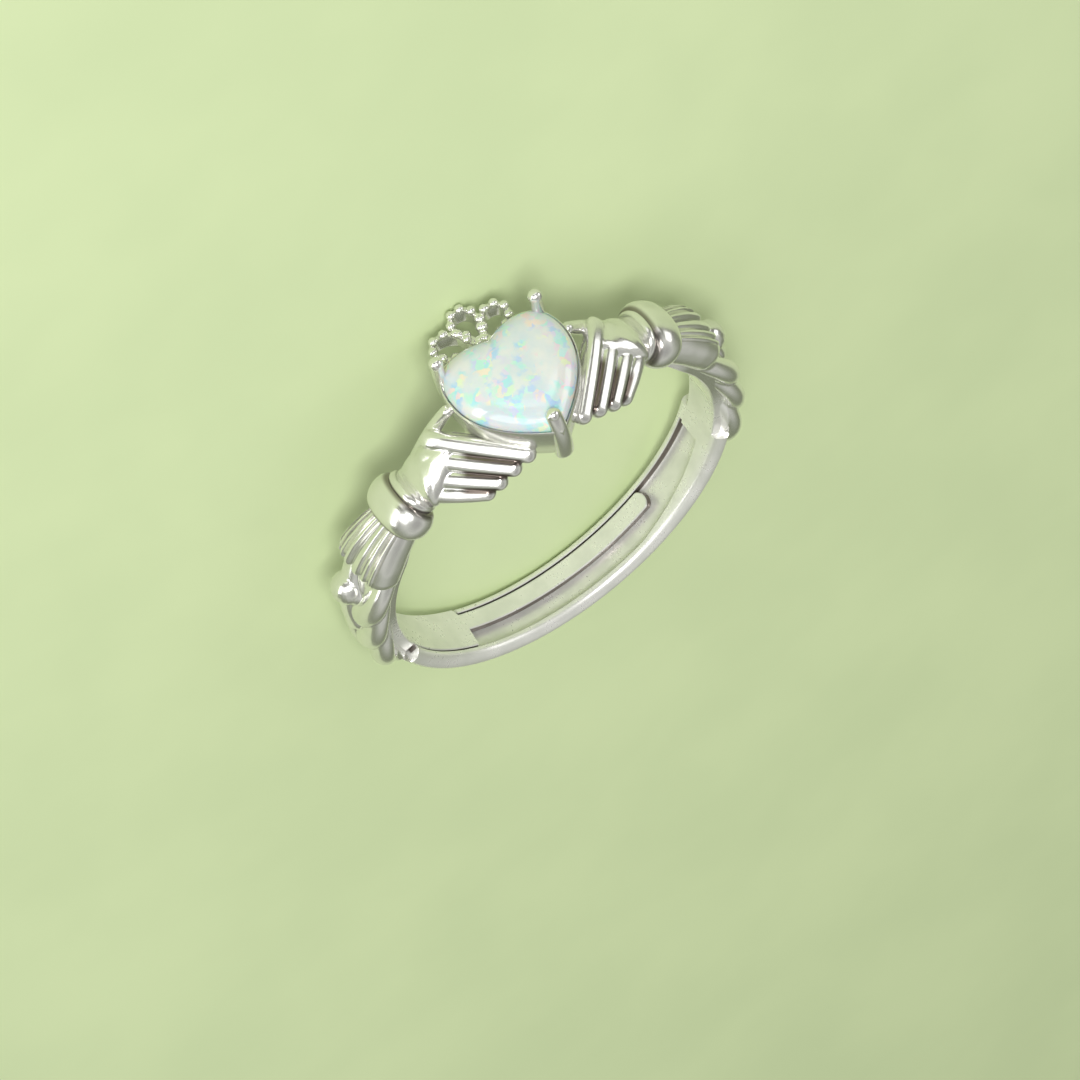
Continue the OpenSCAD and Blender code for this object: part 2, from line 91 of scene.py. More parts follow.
# The band's lap under the right plait and its gap to the left one; then where the slant of its groove's near wall
# starts and its rise there, all in mm, and the degrees over which the slant runs out
BAND_LAP, BAND_END_GAP, FILL_FROM, FILL_RISE, FILL_SPAN = 1.4, 0.4, 1.2, 0.8, 40
BAND_START = RIGHT_END - turn_of(BAND_LAP)
BAND_END = 360 - LEFT_END - turn_of(BAND_END_GAP)
ROOT_END = BAND_END - turn_of(ROOT_L)
FILL_DEG = BAND_START + turn_of(FILL_FROM)
NEAR_Y = NEAR_WALL - BAND_W / 2

SIDE_R = BORE_R + BAND_T * 0.5
REACH_Y = CROWN_Y + LOOP_L - BAND_W / 2
REACH_Z = CROWN_Z + SIDE_R
REST_TILT = math.atan(REACH_Y / REACH_Z) + math.asin(BEAD_D / 2 / math.hypot(REACH_Y, REACH_Z))


def laid_down(p):
    """Finger millimetres to frame metres: the stone faces -Y, the crown points down, and the ring leans by REST_TILT.

    Row x = -x, y = -z cos - y sin, z = z sin - y cos of that tilt, all divided by 1000.
    """
    c, s = math.cos(REST_TILT), math.sin(REST_TILT)
    x, y, z = p[..., 0], p[..., 1], p[..., 2]
    return np.stack([-x, -z * c - y * s, z * s - y * c], axis=-1) * 0.001


# Small numerical helpers on whole arrays
def unit(v):
    """v over its length."""
    return v / np.linalg.norm(v, axis=-1, keepdims=True)


def swell(x, power):
    """The size of x raised to a power, with the sign of x."""
    return np.sign(x) * np.abs(x) ** power


def mix(a, b, k):
    """a (1 - k) + b k."""
    return a * (1 - k) + b * k


def ease(k):
    """0 to 1 with level ends: 3k^2 - 2k^3."""
    k = np.clip(k, 0, 1)
    return k * k * (3 - 2 * k)


def out_dir(deg):
    """Direction away from the finger's axis: sine and cosine of the angle from the crown line."""
    a = np.radians(deg)
    return np.stack([np.sin(a), 0 * a, np.cos(a)], axis=-1)


def round_finger(deg, y, r):
    """Point at an angle from the crown line, a place across the band and a distance from the axis."""
    deg, y, r = np.broadcast_arrays(np.asarray(deg, float), y, r)
    return out_dir(deg) * r[..., None] + np.stack([0 * y, y, 0 * y], axis=-1)


ACROSS = np.array([0.0, 1.0, 0.0])


def oval(c, u, v, a, b, n, power=1.0):
    """Rings c + u a cos t + v b sin t, squared off by a power under 1; c, u and v may be arrays of stations."""
    t = np.linspace(0, 2 * np.pi, n, endpoint=False)
    c, u, v = (np.atleast_2d(q)[:, None, :] for q in (c, u, v))
    a, b = (np.atleast_1d(np.asarray(q, float))[:, None, None] for q in (a, b))
    return c + u * a * swell(np.cos(t), power)[None, :, None] + v * b * swell(np.sin(t), power)[None, :, None]


class Metal:
    """Collects closed grids of points and turns them into one mesh."""

    def __init__(self):
        self.points, self.faces, self.count = [], [], 0

    def grid(self, rings, wrap=False):
        """Quads between neighbouring rings; the ends close on their middle points, or the last meets the first."""
        rings = np.asarray(rings, float)
        rows, n = rings.shape[:2]
        index = np.arange(rows * n).reshape(rows, n)
        turn = np.roll(index, -1, axis=1)
        if wrap:
            index_next, turn_next = np.roll(index, -1, axis=0), np.roll(turn, -1, axis=0)
            quads = np.stack([index, index_next, turn_next, turn], axis=-1).reshape(-1, 4)
            points = rings.reshape(-1, 3)
            caps = np.zeros((0, 3), int)
        else:
            quads = np.stack([index[:-1], index[1:], turn[1:], turn[:-1]], axis=-1).reshape(-1, 4)
            points = np.concatenate([rings.reshape(-1, 3), rings[:1].mean(1), rings[-1:].mean(1)])
            first, last = rows * n, rows * n + 1
            caps = np.concatenate([
                np.stack([index[0], turn[0], np.full(n, first)], axis=-1),
                np.stack([turn[-1], index[-1], np.full(n, last)], axis=-1),
            ])
        tris = np.concatenate([quads[:, [0, 1, 2]], quads[:, [0, 2, 3]], caps])
        a, b, c = (points[tris[:, i]] for i in range(3))
        if np.einsum("ij,ij->i", a, np.cross(b, c)).sum() < 0:
            quads, caps = quads[:, ::-1], caps[:, ::-1]
        self.points.append(points)
        self.faces += (quads + self.count).tolist() + (caps + self.count).tolist()
        self.count += len(points)
        return self

    def mirrored(self):
        """The same metal on the other side of the stone."""
        other = Metal()
        other.points = [p * np.array([-1.0, 1.0, 1.0]) for p in self.points]
        other.faces = [f[::-1] for f in self.faces]
        other.count = self.count
        return other

    def mesh(self, name, millimetres=False):
        """Mesh in the frame's metres, or still in finger millimetres."""
        points = np.concatenate(self.points)
        mesh = bpy.data.meshes.new(name)
        mesh.from_pydata((points if millimetres else laid_down(points)).tolist(), [], self.faces)
        return mesh


def finished(name, mesh, material, node, sharp_deg=38):
    """A smooth-shaded piece of the ring, riding on its one body in place of a CAD node."""
    piece = bpy.data.objects.new(name, mesh)
    bpy.context.scene.collection.objects.link(piece)
    mesh.shade_smooth()
    mesh.set_sharp_from_angle(angle=math.radians(sharp_deg))
    mesh.materials.append(material)
    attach(piece, "root")
    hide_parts(node)


def melted(metal, name, voxel, passes):
    """Mesh of the metal's forms run together: voxel remesh at a size in mm, then evened out so that joints soften."""
    rough = bpy.data.objects.new(name + "_rough", metal.mesh(name + "_rough", millimetres=True))
    bpy.context.scene.collection.objects.link(rough)
    remesh = rough.modifiers.new("remesh", "REMESH")
    remesh.mode, remesh.voxel_size = "VOXEL", voxel
    soften = rough.modifiers.new("soften", "SMOOTH")
    soften.factor, soften.iterations = 0.5, passes
    result = bpy.data.meshes.new_from_object(rough.evaluated_get(bpy.context.evaluated_depsgraph_get()))
    bpy.data.objects.remove(rough)
    points = np.empty(len(result.vertices) * 3)
    result.vertices.foreach_get("co", points)
    result.vertices.foreach_set("co", laid_down(points.reshape(-1, 3)).ravel())
    result.name = name
    result.update()
    return result


def bezier2(p, k):
    """Curve p0 (1 - k)^2 + 2 p1 k (1 - k) + p2 k^2."""
    k = np.asarray(k, float)[..., None]
    return p[0] * (1 - k) ** 2 + 2 * p[1] * k * (1 - k) + p[2] * k**2


def bezier3(p, k):
    """Curve p0 (1 - k)^3 + 3 p1 k (1 - k)^2 + 3 p2 k^2 (1 - k) + p3 k^3."""
    k = np.asarray(k, float)[..., None]
    return p[0] * (1 - k) ** 3 + 3 * p[1] * k * (1 - k) ** 2 + 3 * p[2] * k**2 * (1 - k) + p[3] * k**3


# A half ball's rows stop at this share of the quarter turn, just before its pole
CAP_SHARE = 0.97


def limb(path, r0, r1, face, wide=1.0, n=28, steps=22, cap=7, power=1.0):
    """Round-ended form on a quadratic curve of three points: radius r0 to r1, both ends closed as half balls."""
    path = [np.asarray(p, float) for p in path]
    s = np.linspace(0, 1, steps)
    swing = np.linspace(0, math.pi / 2, cap + 1)[1:] * CAP_SHARE
    share = np.concatenate([np.zeros(cap), s, np.ones(cap)])
    d = unit(mix(path[1] - path[0], path[2] - path[1], share[:, None]))
    u = unit(np.cross(np.broadcast_to(np.asarray(face, float), d.shape), d))
    v = np.cross(d, u)
    radius = mix(r0, r1, share) * np.concatenate([np.cos(swing[::-1]), np.ones(steps), np.cos(swing)])
    beyond = np.concatenate([-np.sin(swing[::-1]) * r0, np.zeros(steps), np.sin(swing) * r1])
    return oval(bezier2(path, share) + d * beyond[:, None], u, v, radius * wide, radius, n, power)


def ball(centre, r, n=20, rows=12, squash=1.0):
    """Sphere as rings of latitude about Z, flattened by squash."""
    t = np.linspace(0, math.pi, rows + 2)[1:-1]
    c = np.asarray(centre, float) + np.stack([0 * t, 0 * t, -np.cos(t) * r * squash], axis=-1)
    return oval(c, [1, 0, 0], [0, 1, 0], np.sin(t) * r, np.sin(t) * r, n)


# Heart outline, in shares of half the width and of the length, from the notch round the right lobe to the tip
LOBE = np.array([[0, 0.336], [0.32, 0.422], [1, 0.466], [1, 0.078]])
FLANK = np.array([[1, 0.078], [1, -0.207], [0.576, -0.431], [0, -0.612]])
HEART_STEPS = 44


def heart_outline():
    """Two cubic curves for the right half, then their mirror image back to the notch, anticlockwise."""
    k = np.linspace(0, 1, HEART_STEPS, endpoint=False)
    half = np.concatenate([bezier3(LOBE, k), bezier3(FLANK, k), FLANK[3:]])
    left = half[-2:0:-1] * [-1, 1]
    return np.concatenate([half, left])[::-1] * [HALF_W, STONE_L]


HEART = heart_outline()


def heart_ring(grow, z, scale=1.0):
    """Outline at a height, scaled so that its half width grows by a length in mm, then scaled again."""
    flat = HEART * (scale * (HALF_W + grow) / HALF_W)
    return np.concatenate([flat, np.full((len(flat), 1), z)], axis=1)


# The dome's rows, and the circle that they round off to near the top: centre's y, radius and how late it takes over
DOME_ROWS, TOP_Y, TOP_R, TOP_POWER = 40, -0.1, 2.9, 1.6


def stone_rings():
    """Cabochon: height dome x sqrt(1 - k^3) over the outline shrunk to share k, rounding off as it nears the top."""
    k = np.cos(np.linspace(0.06, math.pi / 2 - 0.02, DOME_ROWS))
    seat = RIM_Z - SEAT
    low = [heart_ring(0, seat, 0.93), heart_ring(0, RIM_Z - SEAT * 0.85, 0.985), heart_ring(0, RIM_Z - 0.04, 1)]
    centre = np.array([0.0, TOP_Y])
    circle = unit(HEART - centre) * TOP_R + centre
    rings = []
    for share in k:
        w = (1 - share) ** TOP_POWER
        flat = ((HEART - centre) * (1 - w) + (circle - centre) * w) * share + centre
        rings.append(np.concatenate([flat, np.full((len(flat), 1), RIM_Z + DOME * math.sqrt(1 - share**3))], axis=1))
    return np.stack(low + rings)


def setting_rings():
    """Wall section carried round the heart: deck, stone pocket, rounded rim, outer wall, open underside."""
    taper, inmost = 0.9, -1.6
    pocket = RIM_Z - SEAT - GAP
    under = pocket - WALL_T
    rows = [
        (inmost, pocket, 0.3), (-0.6, pocket, 0.9), (GAP - 0.02, pocket, 1), (GAP - 0.02, RIM_Z - 0.05, 1),
        (GAP, RIM_Z - 0.015, 1), (0.08, RIM_Z, 1), (0.11, RIM_Z - 0.015, 1), (RIM_T + 0.005, RIM_Z - 0.06, 1),
        (RIM_T, RIM_Z - 0.3, 1), (RIM_T, RIM_Z - RIM_H / 3, 1),
        (RIM_T, BORE_R + SKIRT_H + 0.5, mix(taper, 1, 0.35)), (RIM_T, BORE_R + SKIRT_H + 0.05, taper + 0.01),
        (RIM_T - 0.05, BORE_R + SKIRT_H, taper), (RIM_T - WALL_T + 0.05, BORE_R + SKIRT_H, taper),
        (RIM_T - WALL_T, BORE_R + SKIRT_H + 0.05, taper), (RIM_T - WALL_T, under - RIM_H / 5, mix(taper, 1, 0.7)),
        (RIM_T - WALL_T, under - 0.05, 0.86), (RIM_T - WALL_T, under, 0.78), (inmost, under, 0.3),
    ]
    return np.stack([heart_ring(*row) for row in rows])


# Prongs: radius of the foot at the tip and at the lobes, of the top and of the bead, then the rise over the rim
TIP_FOOT_R, LOBE_FOOT_R, PRONG_TOP_R, PRONG_BEAD_R = 0.347, 0.308, 0.28, 0.33
TIP_RISE, LOBE_RISE = 0.62, 1.25
# Places of a lobe's prong, at its foot and above the rim, as shares of the half width and of the length
LOBE_PRONG = ((0.86, 0.31), (0.89, 0.33))


def head():
    """Setting with a bent prong at the heart's tip and an upright one at each lobe, each a limb under a bead."""
    metal = Metal().grid(setting_rings())
    tip = FLANK[3] * [HALF_W, STONE_L]
    top = [0, tip[1] + 0.52, RIM_Z + TIP_RISE]
    metal.grid(limb([[0, tip[1] * 0.95, BORE_R + SKIRT_H + 0.25], [0, tip[1] - RIM_T * 0.5, RIM_Z - 0.3], top],
                    TIP_FOOT_R, PRONG_TOP_R, [0, -1, 0], wide=1.3))
    metal.grid(ball(top, PRONG_BEAD_R))
    for side in (-1, 1):
        foot, high = (np.array([side * a * HALF_W, b * STONE_L]) for a, b in LOBE_PRONG)
        metal.grid(limb([[*foot, RIM_Z - 1.3], [*high, RIM_Z], [*high, RIM_Z + LOBE_RISE]],
                        LOBE_FOOT_R, PRONG_TOP_R, [0, 1, 0]))
        metal.grid(ball([*high, RIM_Z + LOBE_RISE], PRONG_BEAD_R))
    return metal


# Crown loops: [turn as a share of the fan, length, half width, base shift]
LOOPS = [(1.04, 1.05, 1.03, -0.14), (0.08, 1, 1, 0), (-0.98, 0.92, 1, 0.12)]
LOOP_STEPS, WIRE_STEPS, WIRE_POWER = 72, 20, 0.5
# The crown's foot: three depths under its level, and its radius at the bottom and at the top
FOOT_DROPS, FOOT_R = (1.15, 0.7, 0.35), (0.38, 0.32)


def even_turn(share):
    """Turn of the teardrop at a share of its length: 2 pi share plus three sines, so that beads lie evenly spaced."""
    s = 2 * np.pi * np.asarray(share, float)
    return s + np.radians(6.1 * np.sin(s) + 8.4 * np.sin(2 * s) + 3.3 * np.sin(3 * s))


def loop_point(t, length, half):
    """Teardrop: x = half sin t (1 - 0.35 cos t), y = length (1 - cos t) / 2."""
    return np.stack([half * np.sin(t) * (1 - 0.35 * np.cos(t)), length * (1 - np.cos(t)) / 2], axis=-1)


def crown():
    """Three teardrop walls of squared oval section fanned out over the heart's notch, with beads along their tops."""
    metal = Metal()
    for turn, length_share, half_share, shift in LOOPS:
        length, half = LOOP_L * length_share, LOOP_HALF * half_share
        a = math.radians(turn * LOOP_FAN)
        spin = np.array([[math.cos(a), math.sin(a)], [-math.sin(a), math.cos(a)]])
        t = even_turn((np.arange(LOOP_STEPS) + 0.5) / LOOP_STEPS)
        d = unit(loop_point(t + 0.01, length, half) - loop_point(t - 0.01, length, half))
        out = np.stack([-d[:, 1], d[:, 0]], axis=-1)
        edge = np.linspace(0, 2 * np.pi, WIRE_STEPS, endpoint=False)
        off, rise = swell(np.cos(edge), WIRE_POWER) * LOOP_T / 2, swell(np.sin(edge), WIRE_POWER) * LOOP_DEPTH / 2
        flat = loop_point(t, length, half)[:, None, :] + out[:, None, :] * off[None, :, None]
        flat = flat @ spin + [shift, CROWN_Y]
        high = np.broadcast_to(CROWN_Z - LOOP_DEPTH / 2 + rise, flat.shape[:2])
        metal.grid(np.concatenate([flat, high[..., None]], axis=-1), wrap=True)
        beads = loop_point(even_turn((np.arange(BEADS) + 0.5) / BEADS), length, half) @ spin + [shift, CROWN_Y]
        for x, y in beads:
            metal.grid(ball([x, y, CROWN_Z + 0.01], BEAD_D / 2, 16, 10, 0.95))
    metal.grid(limb([[0, CROWN_Y, CROWN_Z - drop] for drop in FOOT_DROPS], *FOOT_R, [0, 1, 0], wide=1.2))
    return metal


# Fingers: [base x, base y, base height, tip x, tip y, tip height] as shares of the stone and of the rim's height
FINGERS = np.array([
    [1.30, -0.06, 0.60, 0.46, -0.49, 0.47],
    [1.47, -0.12, 0.42, 0.73, -0.49, 0.37],
    [1.63, -0.18, 0.22, 0.99, -0.48, 0.23],
    [1.74, -0.25, 0.06, 1.20, -0.46, 0.10],
])
HAND_FACE = unit(np.array([0.435, -0.46, 0.775]))
FINGER_WAY = unit(np.array([-0.727, -0.687, 0.0]))
KNUCKLE_WAY = unit(np.array([1.32, -1.1, -1.73]))
# Gaps between fingers: [place along the knuckles, its change along the fingers, where the gap ends]
FINGER_GAPS = [(-5.02, -0.015, 0.8), (-4.32, -0.074, 0.35), (-3.66, -0.13, -0.2)]
# Palm sections: [share of the way from the wrist to the knuckles, width, thickness, sinking, shift to the thumb]
PALM = np.array([
    [-0.1, 1, 1, 0, 0], [0.12, 1, 1, -0.02, 0], [0.3, 1.03, 1, -0.16, 0.08], [0.5, 1.05, 1, -0.27, 0.13],
    [0.7, 1.06, 1, -0.25, 0.16], [0.9, 1.06, 1, -0.13, 0.19], [1.05, 1.05, 0.97, 0.0, 0.18],
    [1.25, 1.02, 0.88, 0.14, 0.14], [1.5, 0.98, 0.75, 0.28, 0.1], [1.95, 0.9, 0.5, 0.5, 0.08],
])
PALM_STEPS, PALM_POWER = 48, 0.92
# A finger's curve: how far its root starts back and deep in the palm, its rise over the knuckle, the tip's shortening
ROOT_BACK, ROOT_DEEP, KNUCKLE_RISE, TIP_SHORT = 0.95, 0.36, 0.08, 0.14
FINGER_R0, FINGER_R1, FINGER_POWER = FINGER_D * 0.6, FINGER_D * 0.55, 0.72
THUMB_BEND = [HALF_W * 1.43, STONE_L * 0.195, RIM_Z - 2.25]
THUMB_TIP = [HALF_W * 1.09, STONE_L * 0.11, RIM_Z - 0.55]
THUMB_FACE = [0.3, 0.5, 0.8]


def hand():
    """Four limbs as fingers, a thumb, and a palm of ovals from the wrist to the knuckles and on under the fingers.

    A palm section's middle and axes go in a straight line from the wrist's to the knuckles', by its share of the way.
    """
    metal = Metal()
    size = np.array([HALF_W, STONE_L, RIM_H])
    base, tip = (FINGERS[:, i:i + 3] * size + [0, 0, BORE_R] for i in (0, 3))
    for b, t in zip(base, tip):
        root = b - FINGER_WAY * ROOT_BACK - HAND_FACE * ROOT_DEEP
        metal.grid(limb([root, b + HAND_FACE * KNUCKLE_RISE, t - FINGER_WAY * TIP_SHORT],
                        FINGER_R0, FINGER_R1, HAND_FACE, power=FINGER_POWER))
    wrist_deg = RIM_RING_DEG - turn_of(0.1)
    row = unit(base[3] - base[0])
    half = np.linalg.norm(base[3] - base[0]) / 2 + FINGER_D * 0.3
    wrist = round_finger(wrist_deg, 0, SHANK_R - 0.1)
    inner = base.mean(0) - HAND_FACE * PALM_T * 0.2
    s = np.linspace(PALM[0, 0], PALM[-1, 0], PALM_STEPS)
    width, thick, sink, shift = (np.interp(s, PALM[:, 0], PALM[:, i])[:, None] for i in range(1, 5))
    k = np.clip(s, 0, 1)[:, None]
    u = unit(mix(-ACROSS, row, k))
    d = unit(np.cross(u, unit(mix(out_dir(wrist_deg), HAND_FACE, k))))
    v = np.cross(d, u)
    way = FINGER_WAY * np.clip(s - 1, 0, None)[:, None] * 2
    metal.grid(oval(mix(wrist, inner, k) + way - v * sink - u * shift, u, v, (width * mix(WRIST_W / 2, half, k))[:, 0],
                    (thick * PALM_T / 2 * mix(1, 0.8, k))[:, 0], 40, PALM_POWER))
    metal.grid(limb([round_finger(wrist_deg - 2, 0.5, SHANK_R), THUMB_BEND, THUMB_TIP],
                    THUMB_D * 0.56, THUMB_D * 0.36, THUMB_FACE))
    return metal


RING_STEPS, RING_POWER = 72, 0.88


def rolled_ring(deg, half_deg, half_across, half_out, low, rows=34):
    """Ring round the shank whose size swells from low to 1 and back as (1 - |s|^2.2)^0.45."""
    s = np.sin(np.linspace(-math.pi / 2, math.pi / 2, rows))
    k = mix(low, 1, np.clip(1 - np.abs(s) ** 2.2, 0, 1) ** 0.45)
    a = deg + half_deg * s
    return oval(round_finger(a, 0, SHANK_R), ACROSS, out_dir(a), half_across * k, half_out * k, RING_STEPS, RING_POWER)


def cuff():
    """A wide rolled ring where the sleeve meets the hand, and a thin rim on the wrist beside it."""
    metal = Metal().grid(rolled_ring(CUFF_DEG, turn_of(CUFF_L / 2), CUFF_W / 2, CUFF_H / 2, 0.68))
    return metal.grid(rolled_ring(RIM_RING_DEG, turn_of(RIM_RING_L / 2), CUFF_W * 0.37, CUFF_H * 0.43, 0.8))


# Fluted sleeve: [share of the length, width, height]
SLEEVE = np.array([
    [0, 0.66, 0.82], [0.15, 0.7, 0.86], [0.4, 0.82, 0.93], [0.7, 0.95, 0.99], [0.9, 1, 1], [0.97, 0.985, 0.99],
    [1, 0.93, 0.96],
])
# Its lowest height over the finger, how square its oval is, where the flutes lie round it, and how narrow they are
SLEEVE_LOW, SLEEVE_POWER = 0.15, 0.78
FLUTE_FROM, FLUTE_SPAN, FLUTE_POWER = 18, 118, 2.2


def sleeve():
    """Half-round sheath: a squared oval, cut on the top and the far side by flutes of depth (1/2 + cos / 2)^2.2."""
    s = np.concatenate([np.linspace(0, 0.86, 20), np.linspace(0.88, 1, 10), np.ones(3)])
    shrink = np.concatenate([np.ones(30), [0.8, 0.5, 0.2]])[:, None]
    t = np.linspace(-90, 270, 240, endpoint=False)
    turn = (t - FLUTE_FROM) / FLUTE_SPAN
    wave = 0.5 + 0.5 * np.cos(2 * np.pi * FLUTES * turn)
    dip = np.where((turn > 0) & (turn < 1), FLUTE_DEPTH * wave ** FLUTE_POWER, 0)
    width, height = (np.interp(s, SLEEVE[:, 0], SLEEVE[:, i])[:, None] for i in (1, 2))
    a = mix(SLEEVE_DEG, SLEEVE_END, s)[:, None]
    half = width * SLEEVE_W / 2
    rise = (height * SLEEVE_H - SLEEVE_LOW) / 2
    t = np.radians(t)[None, :]
    y = SLEEVE_SHIFT * s[:, None] + shrink * half * swell(np.cos(t), SLEEVE_POWER)
    r = BORE_R + SLEEVE_LOW + rise + shrink * (rise * swell(np.sin(t), SLEEVE_POWER) - dip[None, :])
    return Metal().grid(round_finger(a, y, r))


# A strand's start, middle and end: place off the middle line in mm, and height over the finger in strand widths
STRAND_Y, STRAND_UP = (0.6, 1.35, 0.3), (0.45, 1.15, 0.94)
# How far the last strand reaches past the plait's end, how many steps the crown's side lags behind, the middle's share
# of a strand's length, how much its curve stops short of its end, and its radius at its start and its end
STRAND_PAST, STRAND_LAG, STRAND_MIDDLE, STRAND_SHORT = 0.25, 0.42, 0.55, 0.55
STRAND_R0, STRAND_R1 = STRAND_D * 0.34, STRAND_D * 0.52
# The core's height over the finger and half sizes; the knob's place along the plait, off the middle line and over the
# finger, and its radius
CORE_UP, CORE_HALF, CORE_RISE = 0.8, 1.2, 0.6
KNOB_AT, KNOB_Y, KNOB_UP, KNOB_R = 2.1, 0.7, 1.5, KNOB_D * 0.76


def plait(end_deg, step):
    """Six leaf-shaped limbs, three to a side by turns, each over the next pair, on an oval core.

    A ball is the knob where they start.
    """
    metal = Metal()
    for i in range(3):
        for side in (-1, 1):
            end = end_deg + turn_of(STRAND_PAST - step * i - (step * STRAND_LAG if side > 0 else 0))
            start = end - turn_of(STRAND_L)
            degs = (start, mix(start, end, STRAND_MIDDLE), end - turn_of(STRAND_SHORT))
            path = [round_finger(d, side * y, BORE_R + STRAND_D * up) for d, y, up in zip(degs, STRAND_Y, STRAND_UP)]
            metal.grid(limb(path, STRAND_R0, STRAND_R1, out_dir(mix(start, end, 0.5)),
                            wide=1.1, n=36, steps=30, cap=9))
    a = np.linspace(SLEEVE_END - 2, end_deg, 24)
    metal.grid(oval(round_finger(a, 0, BORE_R + CORE_UP), ACROSS, out_dir(a), CORE_HALF, CORE_RISE, 32))
    metal.grid(ball(round_finger(SLEEVE_END + turn_of(KNOB_AT), KNOB_Y, BORE_R + KNOB_UP), KNOB_R))
    return metal


def swept(degs, r, y):
    """Section of distances r and places y, one row for each angle, carried round the finger."""
    degs = np.asarray(degs, float)
    return round_finger(degs[:, None], y, r)


def strip(degs, low, high, thick):
    """Flat strip on the finger hollow with quarter rounds on its outer edges; low and high may change along it."""
    soft = 0.1
    corner = np.radians([0, 30, 60, 90])
    low, high = np.broadcast_to(low, degs.shape)[:, None], np.broadcast_to(high, degs.shape)[:, None]
    up = BORE_R + thick - soft + soft * np.sin(corner)
    inward = soft - soft * np.cos(corner)
    edge = 0.05
    y = np.concatenate([low + edge, low, low + inward, high - inward[::-1], high, high - edge], axis=1)
    r = np.concatenate([[BORE_R], [BORE_R + edge], up, up[::-1], [BORE_R + edge], [BORE_R]])
    return swept(degs, np.broadcast_to(r, y.shape), y)


def liner():
    """Strip under the head and the shanks, which widens along each sleeve as ease()."""
    metal = Metal()
    head_half, shank_half, thick = 0.6, 1.0, 0.6
    a = np.linspace(-LEFT_END, RIGHT_END, 260)
    flare_from, flare_to = CUFF_DEG + 5, SLEEVE_END - 3
    flare = ease((np.abs(a) - flare_from) / (flare_to - flare_from))
    half = mix(head_half, shank_half, flare)
    return metal.grid(strip(a, -half, half, thick))


def band():
    """Section rounded outside, with a groove inside whose near wall slants and whose far wall stops at the root."""
    a = np.unique(np.concatenate([
        np.linspace(BAND_START, FILL_DEG - 1, 12), np.linspace(FILL_DEG - 1, FILL_DEG + 2.2, 24),
        np.linspace(FILL_DEG + 2.2, ROOT_END - 1.5, 130), np.linspace(ROOT_END - 1.5, ROOT_END + 1, 16),
        np.linspace(ROOT_END + 1, BAND_END, 40)]))
    depth = GROOVE_DEPTH * ease((a - FILL_DEG) / 1.6)[:, None]
    near = NEAR_Y + FILL_RISE * np.clip(1 - (a - FILL_DEG) / FILL_SPAN, 0, 1)[:, None]
    far_top = GROOVE_DEPTH * ease((a - ROOT_END + turn_of(SLIDE_GAP)) / 0.5)[:, None]
    far = BAND_W / 2 - FAR_WALL
    t = np.radians(np.linspace(-90, 90, 33))
    ones = np.ones((len(a), 1))
    outer_r = SIDE_R + BAND_T * 0.5 * np.cos(t)
    outer_y = BAND_W / 2 * swell(np.sin(t), 0.9)
    inner_r = np.array([BORE_R + 0.26, BORE_R + 0.12, BORE_R + 0.04, BORE_R])
    inner_y = np.array([0.06, 0.16, 0.25, 0.36])
    lip = 0.04
    r = np.concatenate([
        ones * outer_r, ones * inner_r + far_top * [0.0, 0.75, 0.92, 1.0],
        BORE_R + far_top, BORE_R + np.minimum(depth, far_top + lip), BORE_R + depth, BORE_R + depth,
        BORE_R + np.minimum(depth, lip), ones * BORE_R, ones * inner_r[::-1]], axis=1)
    y = np.concatenate([
        ones * outer_y, ones * (BAND_W / 2 - inner_y * 0.5),
        ones * (far + lip), ones * far, ones * (far - 0.02), near + 0.02, near,
        near - lip, ones * (inner_y[::-1] - BAND_W / 2)], axis=1)
    return Metal().grid(swept(a, r, y))


# Degrees that the tongue's round nose takes
NOSE_DEG = 2.2


def tongue():
    """Strip in the groove with a half-round nose, widening as ease() into its root where the left plait ends."""
    high = BAND_W / 2 - FAR_WALL - SLIDE_GAP
    start = 180 - TONGUE_REACH
    a = np.unique(np.concatenate([
        start + NOSE_DEG * np.linspace(0, 1, 12) ** 2, np.linspace(start + NOSE_DEG, ROOT_END - 1, 90),
        np.linspace(ROOT_END - 1, ROOT_END + 2, 24), np.linspace(ROOT_END + 2, 361 - LEFT_END, 50)]))
    widen = ease((a - ROOT_END) / 1.2)
    nose = np.sqrt(np.clip(1 - (1 - np.clip((a - start) / NOSE_DEG, 0, 1)) ** 2, 0.02, 1))
    low_narrow = high - TONGUE_W / 2 - TONGUE_W / 2 * nose
    high_narrow = high - TONGUE_W / 2 + TONGUE_W / 2 * nose
    low = mix(low_narrow, NEAR_Y + SLIDE_GAP, widen)
    top = mix(high_narrow, BAND_W / 2 - 0.08, widen)
    return Metal().grid(strip(a, low, top, TONGUE_T))


# Camera: the photograph's angle to the ring, its roll and its place in the frame; the picture's and sensor's widths
PHOTO, SENSOR = 1080, 36
CAMERA_AZ, CAMERA_EL, CAMERA_ROLL = (math.radians(v) for v in (-23.65, 62.49, -13.64))
CAMERA_D, PIXELS_PER_MM, RING_PX, RING_PY = 246.2, 21.92, 544.38, 498.07


